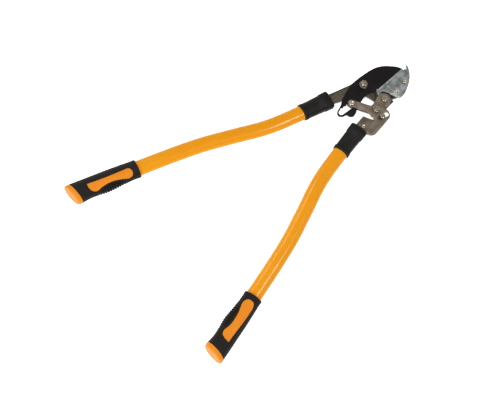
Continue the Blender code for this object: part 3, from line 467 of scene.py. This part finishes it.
def slant(bm, handle):
    """Shear the butt end of a grip piece: further back on its outer side than on its inner one."""
    butt, along, across = (part.to_3d() for part in handle.at(0.0))
    for vert in bm.verts:
        place = vert.co - butt - ZERO
        share = min(max(1 - place.dot(along) / SLANT_RUN, 0.0), 1.0)
        vert.co += along * BUTT_SLANT * share * place.dot(across)


grip_form = smooth(GRIP_SECTIONS, 10)


def grip_ring(handle, run, sunk):
    _, outer, inner = read(grip_form, run / GRIP_LENGTH)
    return handle.ring(run, (outer + inner) / 2 - sunk, GRIP_FLATNESS, (inner - outer) / 2)


rubber, shader, place = finish("soft_black_rubber", specular=0.18)
skin = place.noise(1500.0, 3.0)
dust = place.noise(45.0, 5.0)
dress(shader, (dust.between(0.40, 0.80) * 0.45).mix(RUBBER_BLACK, RUBBER_DUST),
      0.58 + dust * 0.15, skin, 0.00010)

hard, shader, place = finish("orange_moulded_plastic", specular=0.2)
flow = place.noise(30.0, 3.0)
fine = place.noise(1800.0, 2.0)
dress(shader, (flow.between(0.3, 0.7) * 0.5).mix(CORE_ORANGE, CORE_DEEP), 0.36 + flow * 0.10,
      fine, 0.00005)

for name, handle in handles.items():
    pads = {face: pad_on(handle, face) for face in (-1, 1)}
    # the cover, with its butt end and its lip end rolled in
    bm = bmesh.new()
    end = GRIP_LENGTH - LIP_LENGTH
    steps = list(COVER_ROLL)
    steps += [(run, COVER_SUNK) for run in spread(0.003, end - 0.003, 320)]
    steps += [(end - run, sunk) for run, sunk in reversed(COVER_ROLL)]
    rings = [grip_ring(handle, COVER_ROLL[0][0], COVER_TURNED_IN)]
    rings += [grip_ring(handle, run, sunk) for run, sunk in steps]
    rings.append(grip_ring(handle, end, COVER_TURNED_IN))
    drawn = sweep(bm, rings, 96)
    close(bm, drawn[0], drawn[-1])
    for (run, _), ring in zip(steps, drawn[1:]):
        along_ribs = (run / GRIP_LENGTH - RIB_START) / (RIB_END - RIB_START)
        if not 0.0 < along_ribs < 1.0:
            continue
        groove = 0.5 + 0.5 * math.cos(2 * math.pi * RIB_COUNT * along_ribs)
        groove = groove ** 1.3 * min(1.0, 6 * along_ribs, 6 * (1 - along_ribs))
        point, _, across = handle.at(run)
        across = across.to_3d()
        centre = Vector((*point, handle.level)) + ZERO
        for vert in ring:
            # ribs begin beyond a plain band beside the pad
            pad = pads[1 if vert.co.z > centre.z else -1]
            plain = max(read(pad, run / GRIP_LENGTH)[2] + RIB_BAND_BY_PAD, RIB_NEAREST)
            reach = min(max(((vert.co - centre).dot(across) - plain) / RIB_RISE, 0.0), 1.0)
            out = (vert.co - centre).normalized()
            vert.co -= out * RIB_DEPTH * groove * reach * reach * (3 - 2 * reach)
    slant(bm, handle)
    show(bm, name + "_rubber_cover", rubber, body_of[name],
         name + "_grip_cover", sharp=60.0)

    # the core: two raised pads and the lip
    bm = bmesh.new()
    for face, pad in pads.items():
        first, last = pad[0][0], pad[-1][0]
        verts = bmesh.ops.create_grid(bm, x_segments=120, y_segments=32, size=1.0)["verts"]
        rim = [edge for edge in {e for v in verts for e in v.link_edges} if edge.is_boundary]
        for vert in verts:
            # the rows stand closer together towards the pad's ends
            share = first + (last - first) * (0.5 - 0.5 * math.cos(math.pi * (vert.co.x + 1) / 2))
            _, away, towards = read(pad, share)
            aside = vert.co.y
            x = (towards - away) / 2 + aside * (towards + away) / 2
            _, outer, inner = read(grip_form, share)
            middle, half = (inner - outer) / 2, (outer + inner) / 2
            rise = half * GRIP_FLATNESS * math.sqrt(1 - ((x - middle) / half) ** 2)
            to_edge = min((1 - abs(aside)) * (towards + away) / 2,
                          min(share - first, last - share) * GRIP_LENGTH)
            inside = min(to_edge / PAD_ROUND, 1.0)
            rise -= PAD_EDGE_DROP * (1 - math.sqrt(1 - (1 - inside) ** 2))
            point, _, across = handle.at(share * GRIP_LENGTH)
            spot = point + across * x
            vert.co = Vector((spot.x, spot.y, handle.level + face * rise)) + ZERO
        made = bmesh.ops.extrude_edge_only(bm, edges=rim)["geom"]
        skirt = [part for part in made if isinstance(part, bmesh.types.BMVert)]
        bmesh.ops.translate(bm, verts=skirt, vec=(0.0, 0.0, -face * PAD_DEPTH))
        close(bm, [e for e in made if isinstance(e, bmesh.types.BMEdge) and e.is_boundary])
    start = GRIP_LENGTH - LIP_LENGTH
    lip = ((start - 0.001, 0.0030), (start - 0.001, 0.0008), (start + 0.0007, 0.0008),
           (start + 0.0011, 0.0012), (start + 0.0012, 0.0040))
    drawn = sweep(bm, [grip_ring(handle, run, sunk) for run, sunk in lip], 96)
    close(bm, drawn[0], drawn[-1])
    show(bm, name + "_core_pads", hard, body_of[name], name + "_grip_core")

# ================================================================ end caps
# The butt of each grip is closed by a domed orange cap, plugged into the core.
CAP_LENGTH = 0.010
CAP_OVERLAP = 0.0003
# share of the cap's length from its open end, share of the butt's half width
CAP_PROFILE = ((-1.0, 0.0), (-0.998, 0.30), (-0.985, 0.60), (-0.955, 0.82), (-0.91, 0.905),
               (-0.84, 0.945), (-0.70, 0.968), (-0.50, 0.980), (-0.25, 0.985), (-0.06, 0.985),
               (-0.01, 0.970))
for name, handle in handles.items():
    bm = bmesh.new()
    butt = GRIP_SECTIONS[0][1]
    rings = [handle.ring(share * CAP_LENGTH - CAP_OVERLAP, butt * max(width, 0.02), GRIP_FLATNESS)
             for share, width in smooth(CAP_PROFILE, 4)]
    drawn = sweep(bm, rings, 96)
    close(bm, drawn[0], drawn[-1])
    slant(bm, handle)
    show(bm, name + "_domed_cap", hard, body_of[name], name + "_end_cap")

# ================================================================ steel plates of the head
# Arm, tang, lever plates and links are stamped from steel strip, tumbled, and brushed along.
STEEL = (0.26, 0.212, 0.160)
STEEL_DARK = (0.125, 0.098, 0.072)
ARM_STEEL = (0.115, 0.096, 0.070)
ARM_STEEL_DARK = (0.062, 0.050, 0.035)
TANG_STEEL = (0.215, 0.175, 0.130)
TANG_STEEL_DARK = (0.105, 0.082, 0.060)


def plate(node, name, material, body, rim=0.0004, shape=None):
    """A CAD plate with its triangles merged into flat faces and its rims broken."""
    bm = bmesh.new()
    bm.from_mesh(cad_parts[node].data)
    bmesh.ops.remove_doubles(bm, verts=bm.verts, dist=0.000005)
    bmesh.ops.dissolve_limit(bm, angle_limit=math.radians(1.0), verts=bm.verts, edges=bm.edges)
    if shape:
        shape(bm)
    rims = [edge for edge in bm.edges if len(edge.link_faces) == 2
            and edge.calc_face_angle() > math.radians(50)
            and abs(edge.verts[0].co.z - edge.verts[1].co.z) < 0.00001]
    bmesh.ops.bevel(bm, geom=rims, offset=rim, segments=2, profile=0.5, affect="EDGES",
                    material=-1, clamp_overlap=True)
    show(bm, name, material, body, node, sharp=32.0)


def brushed(name, dark, light, metallic, turned, rough):
    """Steel brushed along a direction, turned so many radians from the tool's length."""
    material, shader, place = finish(name, metallic=metallic)
    lines = place.noise(900.0, 3.0, (1.0, 0.03, 1.0), turned)
    stains = place.noise(55.0, 4.0)
    tone = lines * 0.35 + stains.between(0.3, 0.75) * 0.65
    dress(shader, tone.mix(dark, light), rough + stains * 0.15 + lines * 0.10, lines, 0.00004)
    return material


arm_steel = brushed("brushed_arm_steel", ARM_STEEL_DARK, ARM_STEEL, 0.75, -0.55, 0.36)
lever_steel = brushed("brushed_lever_steel", STEEL_DARK, STEEL, 0.75, 0.35, 0.36)
tang_steel = brushed("brushed_tang_steel", TANG_STEEL_DARK, TANG_STEEL, 0.75, -0.55, 0.36)
link_steel = brushed("brushed_link_steel", STEEL_DARK, STEEL, 0.75, 2.1, 0.38)
plate("fixed_arm", "arm_plate", arm_steel, "fixed_side")
plate("lever_front_plate", "lever_face_plate", lever_steel, "lever_side")
plate("lever_rear_plate", "lever_back_plate", lever_steel, "lever_side")
plate("lever_tang", "tang_plate", tang_steel, "lever_side")
plate("link_front_plate", "link_face_plate", link_steel, "link")

# ================================================================ zinc plated pieces
# The anvil is folded from zinc plated sheet, cloudy blue-grey. The rear link and the spacers are
# plated too, brighter.
ZINC_DARK = (0.15, 0.165, 0.160)
ZINC_LIGHT = (0.40, 0.43, 0.42)
ZINC_BRIGHT = (0.60, 0.63, 0.64)

zinc, shader, place = finish("cloudy_zinc_plate", metallic=0.7)
clouds = place.noise(75.0, 5.0)
flakes = place.node("TexVoronoi", output=1, settings={"feature": "F1"}, Vector=place, Scale=260.0)
patches = (clouds.between(0.35, 0.68) * 0.85 + clouds.node("RGBToBW", Color=flakes) * 0.15)
dress(shader, patches.mix(ZINC_DARK, ZINC_LIGHT), 0.30 + clouds * 0.22, clouds, 0.00008)

bright_zinc, shader, place = finish("bright_zinc_plate", metallic=0.9)
clouds = place.noise(120.0, 4.0)
dress(shader, clouds.between(0.3, 0.7).mix(ZINC_LIGHT, ZINC_BRIGHT), 0.22 + clouds * 0.15,
      clouds, 0.00005)

plate("anvil_channel", "folded_anvil", zinc, "fixed_side", rim=0.0003)
plate("link_rear_plate", "link_back_plate", bright_zinc, "link")

# ================================================================ the anvil's insert
# A strip of soft light alloy lies in the anvil's mouth, where the edge lands and leaves fine cuts.
INSERT_LIGHT = (0.34, 0.36, 0.36)
INSERT_DARK = (0.12, 0.13, 0.13)
alloy, shader, place = finish("soft_alloy", metallic=0.55)
cuts = place.noise(500.0, 3.0, (0.15, 1.0, 0.15))
wear = place.noise(90.0, 4.0)
dress(shader, (cuts * 0.5 + wear * 0.5).between(0.35, 0.60).mix(INSERT_DARK, INSERT_LIGHT),
      0.40 + wear * 0.15, cuts, 0.00010)
plate("anvil_insert", "alloy_insert", alloy, "fixed_side", rim=0.0005)

# ================================================================ blade
# The blade is stamped from 4 mm steel with a black non-stick coat, and ground to its edge from the
# back. Its tail carries the row of notches.
EDGE_HEEL = (0.0034, 0.0140)
EDGE_TIP = (0.0003, 0.1000)
GRIND_WIDTH = 0.0085
GRIND_HEIGHT = 0.0032
LAST_GRIND_WIDTH = 0.0016
EDGE_THICKNESS = 0.0006
COAT_BLACK = (0.0036, 0.0024, 0.0021)
COAT_WORN = (0.010, 0.0075, 0.0065)
BARE = (0.42, 0.40, 0.37)

coat, shader, place = finish("black_blade_coat", specular=0.16)
rubs = place.noise(40.0, 5.0, (1.0, 0.5, 1.0), 0.3)
fine = place.noise(1300.0, 2.0)
lines = place.noise(700.0, 3.0, (0.04, 1.0, 1.0), 0.0)
heel = Vector(EDGE_HEEL).to_3d() + ZERO
run = (Vector(EDGE_TIP) - Vector(EDGE_HEEL)).to_3d().normalized()
into_blade = Vector((-run.y, run.x, 0.0))
off_edge = place.node("VectorMath", output=1, settings={"operation": "DOT_PRODUCT"},
                      Vector=place, _1=into_blade) - heel.dot(into_blade)
height = place.node("SeparateXYZ", output=2, Vector=place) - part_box("blade")[0].z
ground = (1.0 - off_edge.between(GRIND_WIDTH - 0.0002, GRIND_WIDTH)) * (
    1.0 - (height - GRIND_HEIGHT).between(0.0, 0.0002)) * (off_edge + 0.001).between(0.0, 0.0001)
coated = (rubs.between(0.5, 0.8) * 0.5).mix(COAT_BLACK, COAT_WORN)
dress(shader, ground.mix(coated, BARE), 0.44 + rubs * 0.12 - ground * 0.12,
      fine * (1.0 - ground) + lines * ground, 0.00005)
shader.id_data.links.new((0.05 + ground * 0.85).socket, shader.inputs["Metallic"])


def grind(bm):
    """Slope the back face down to a thin edge along the straight of the blade."""
    low = min(vert.co.z for vert in bm.verts)
    high = max(vert.co.z for vert in bm.verts)
    for width in (GRIND_WIDTH, LAST_GRIND_WIDTH):
        geom = [*bm.verts, *bm.edges, *bm.faces]
        bmesh.ops.bisect_plane(bm, geom=geom, dist=1e-7, plane_co=heel + into_blade * width,
                               plane_no=into_blade)
    for vert in bm.verts:
        off = (vert.co - heel).dot(into_blade)
        beside = (vert.co - heel).dot(run)
        if off < GRIND_WIDTH - 1e-5 and beside > -0.0001:
            share = 1 - off / GRIND_WIDTH
            if abs(vert.co.z - low) < 1e-6:
                vert.co.z = low + share * (high - low - EDGE_THICKNESS)


plate("blade", "coated_blade", coat, "blade", rim=0.0005, shape=grind)

# ================================================================ nuts, bolts and washers
# Hexagon nuts with chamfered corners hold the pivots, on bolts with a bright yellowish plating.
HALF_FLAT = 0.0065
CLAMP_HALF_FLAT = 0.00525
NUT_HOLE = 0.0041
CLAMP_NUT_HOLE = 0.00335
BOLT_SHANK = 0.0039
CLAMP_SHANK = 0.0031
BOLT_HEAD = 0.0053
CLAMP_HEAD = 0.004
HEXAGON_TURN = 15
CHAMFER_ANGLE = 28
NICKEL = (0.66, 0.60, 0.48)
NICKEL_DARK = (0.34, 0.28, 0.19)

nickel, shader, place = finish("yellowish_nickel", metallic=0.95)
spots = place.noise(300.0, 4.0)
grain = place.noise(1500.0, 2.0)
dress(shader, spots.between(0.35, 0.7).mix(NICKEL_DARK, NICKEL), 0.08 + spots * 0.10,
      grain, 0.00002)


def turned(bm, centre, profile, segments=48):
    """Spin a profile of (radius, level) about an upright axis, and weld its poles."""
    axis = Vector((*centre, 0.0)) + ZERO
    points = [bm.verts.new(axis + Vector((radius, 0.0, level - ZERO.z))) for radius, level in profile]
    edges = [bm.edges.new(pair) for pair in zip(points, points[1:])]
    bmesh.ops.spin(bm, geom=[*points, *edges], cent=axis, axis=(0.0, 0.0, 1.0),
                   angle=2 * math.pi, steps=segments, use_merge=True)
    reach = max(radius for radius, _ in profile) + 1e-6
    fresh = [vert for vert in bm.verts if (vert.co.xy - axis.xy).length < reach]
    bmesh.ops.remove_doubles(bm, verts=fresh, dist=0.000002)
    return axis


def hexagon_body(bm, centre, low, high, hole, flat=HALF_FLAT):
    """A hexagon prism with its corners turned off in a cone at the top and at the bottom."""
    corner = flat / math.cos(math.radians(30))
    slope = math.tan(math.radians(CHAMFER_ANGLE))
    drop = (corner - flat * 0.97) * slope
    face = flat * 0.95
    levels = spread(0.0, 1.0, 6)
    top = [(face + (corner - face) * t, high - drop * t) for t in levels]
    bottom = [(face + (corner - face) * t, low + drop * t) for t in levels]
    profile = [(hole, high), *top, *reversed(bottom), (hole, low)]
    if hole:
        profile.append((hole, high))
    axis = turned(bm, centre, profile, 72)
    for vert in bm.verts:
        for k in range(6):
            angle = math.radians(HEXAGON_TURN + 60 * k)
            out = Vector((math.cos(angle), math.sin(angle), 0.0))
            past = (vert.co - axis).dot(out) - flat
            if past > 0 and (vert.co.xy - axis.xy).length < corner + 1e-4:
                vert.co -= out * past


def level_of(node, end):
    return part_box(node)[end].z


def centre_of(node):
    low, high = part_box(node)
    middle = (low + high) / 2 - ZERO
    return (middle.x, middle.y)


def threaded_end(radius, low, high):
    """A bolt's end from its tip down: a dished tip, a chamfer and thread grooves."""
    profile = [(0.0, high - 0.0002), (radius * 0.55, high - 0.00012), (radius * 0.72, high),
               (radius - 0.0005, high - 0.0001), (radius - 0.0001, high - 0.0006)]
    level = high - 0.0009
    while level > low + 0.0006:
        profile += [(radius - 0.0005, level), (radius, level - 0.0004)]
        level -= 0.0008
    return profile + [(radius, low)]


for node, name, body, hole, flat in (
        ("blade_pivot_nut", "blade_nut", "fixed_side", NUT_HOLE, HALF_FLAT),
        ("lever_pivot_nut", "lever_nut", "fixed_side", NUT_HOLE, HALF_FLAT),
        ("link_nut", "link_hex_nut", "lever_side", NUT_HOLE, HALF_FLAT),
        ("clamp_nut", "clamp_hex_nut", "lever_side", CLAMP_NUT_HOLE, CLAMP_HALF_FLAT)):
    bm = bmesh.new()
    hexagon_body(bm, centre_of(node), level_of(node, 0), level_of(node, 1), hole, flat)
    show(bm, name, nickel, body, node, sharp=30.0)

for node, name, body, top in (("blade_pivot_bolt", "blade_bolt", "fixed_side", "blade_pivot_nut"),
                              ("lever_pivot_bolt", "lever_bolt", "fixed_side", "lever_pivot_nut"),
                              ("link_bolt", "link_hex_bolt", "lever_side", "link_nut")):
    bm = bmesh.new()
    low, high = level_of(node, 0), level_of(node, 1)
    head_top = low + BOLT_HEAD
    hexagon_body(bm, centre_of(node), low, head_top, 0.0)
    turned(bm, centre_of(node), [*threaded_end(BOLT_SHANK, level_of(top, 0), high),
                                 (BOLT_SHANK, head_top - 0.001), (0.0, head_top - 0.001)])
    show(bm, name, nickel, body, node, sharp=30.0)

bm = bmesh.new()
low, high = level_of("clamp_bolt", 0), level_of("clamp_bolt", 1)
hexagon_body(bm, centre_of("clamp_bolt"), high - CLAMP_HEAD, high, 0.0, CLAMP_HALF_FLAT)
turned(bm, centre_of("clamp_bolt"), [(0.0, high - 0.003), (CLAMP_SHANK, high - 0.003),
                                     (CLAMP_SHANK, low + 0.0004), (CLAMP_SHANK - 0.0005, low),
                                     (0.0, low)])
show(bm, "clamp_hex_bolt", nickel, "lever_side", "clamp_bolt", sharp=30.0)

bm = bmesh.new()
low, high = level_of("blade_pivot_washer", 0), level_of("blade_pivot_washer", 1)
turned(bm, BLADE_PIVOT, [(0.0043, high), (0.0080, high), (0.00865, high - 0.0003), (0.00875, low + 0.0003),
                         (0.0085, low), (0.0043, low), (0.0043, high)])
show(bm, "bright_washer", lever_steel, "fixed_side", "blade_pivot_washer")

# ================================================================ rivets and pins
# Round headed rivets hold the anvil and the lever's tang, and a thicker one is the ratchet's pin.
RIVET_CROWN = 0.0022
# a head with a soft shoulder and a dished middle: share of its radius, share of its height
RIVET_HEAD = ((0.0, 0.60), (0.34, 0.62), (0.46, 0.78), (0.56, 0.97), (0.66, 1.0), (0.78, 0.94),
              (0.90, 0.74), (0.98, 0.42), (1.0, 0.20), (1.0, 0.0))
for node, name, body, shank in (("anvil_rivet_tip", "tip_rivet", "fixed_side", 0.0025),
                                ("anvil_rivet_heel", "heel_rivet", "fixed_side", 0.0025),
                                ("tang_rivet", "lever_rivet", "lever_side", 0.0025),
                                ("ratchet_pin", "notch_pin", "link", 0.0035)):
    bm = bmesh.new()
    low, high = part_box(node)
    rim = (high.x - low.x) / 2
    top, bottom = high.z - RIVET_CROWN, low.z + RIVET_CROWN
    profile = [(rim * share, top + RIVET_CROWN * height) for share, height in RIVET_HEAD]
    profile += [(shank, top), (shank, bottom)]
    profile += [(rim * share, bottom - RIVET_CROWN * height) for share, height in reversed(RIVET_HEAD)]
    turned(bm, centre_of(node), profile)
    show(bm, name, nickel, body, node)

# ================================================================ inner pieces
# Spacers, the flush rivet and the pins in the tubes keep their plain turned form.
for node in ("anvil_spacer_tip", "anvil_spacer_heel", "lever_pivot_spacer", "tang_spacer", "link_spacer"):
    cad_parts[node].data.materials[0] = bright_zinc
for node in ("left_tang_pin", "right_tang_pin"):
    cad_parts[node].data.materials[0] = nickel
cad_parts["plate_rivet"].data.materials[0] = lever_steel
